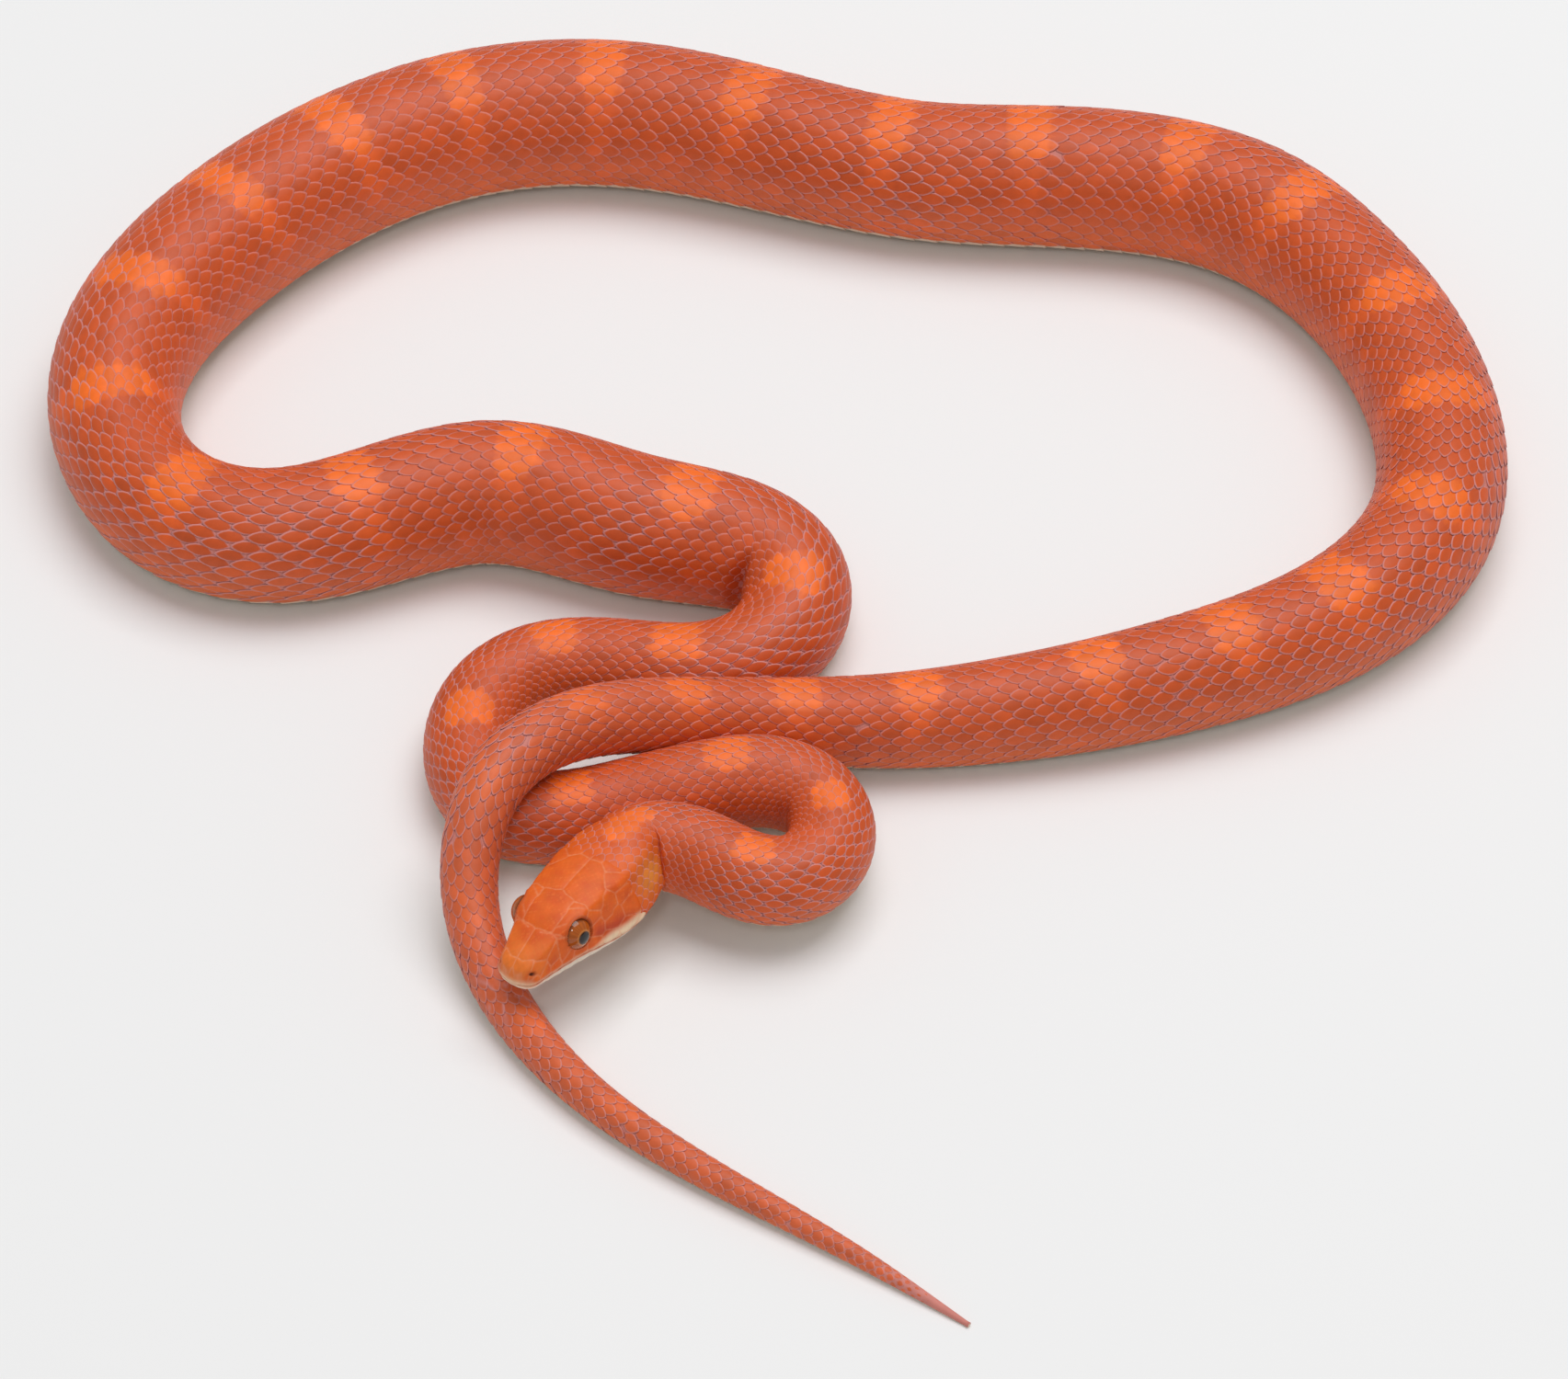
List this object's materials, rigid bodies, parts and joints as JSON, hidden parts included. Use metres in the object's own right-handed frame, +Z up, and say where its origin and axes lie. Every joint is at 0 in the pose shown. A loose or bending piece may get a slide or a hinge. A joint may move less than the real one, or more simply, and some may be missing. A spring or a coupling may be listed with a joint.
{
  "type": "corn snake model",
  "caption": "Still, life-size corn snake lying in loose loops on its belly, neck folded back and snout resting on its own tail.",
  "frame": {"origin": "on the floor, under the middle of the whole animal's outline", "axes": "+Z up, -Y towards the head and tail tip, +X to the right of someone who looks along +Y"},
  "size_m": [0.2938, 0.3326, 0.0294],
  "materials": {
    "skin": "satin",
    "tail": "satin",
    "head": "satin",
    "chin": "satin",
    "eye": "gloss"
  },
  "bodies": {
    "root": {"head": "head", "lower_jaw": "chin", "eye_left": "eye", "eye_right": "eye", "neck_01": "skin", "neck_02": "skin", "body_01": "skin", "body_02": "skin", "body_03": "skin", "body_04": "skin", "body_05": "skin", "body_06": "skin", "body_07": "skin", "body_08": "skin", "body_09": "skin", "body_10": "skin", "body_11": "skin", "body_12": "skin", "body_13": "skin", "body_14": "skin", "body_15": "skin", "body_16": "skin", "body_17": "skin", "body_18": "skin", "body_19": "skin", "body_20": "skin", "body_21": "skin", "body_22": "skin", "body_23": "skin", "body_24": "skin", "body_25": "skin", "body_26": "skin", "body_27": "skin", "tail_01": "tail", "tail_02": "tail", "tail_03": "tail", "tail_04": "tail", "tail_05": "tail", "tail_tip": "tail"}
  },
  "joints": []
}
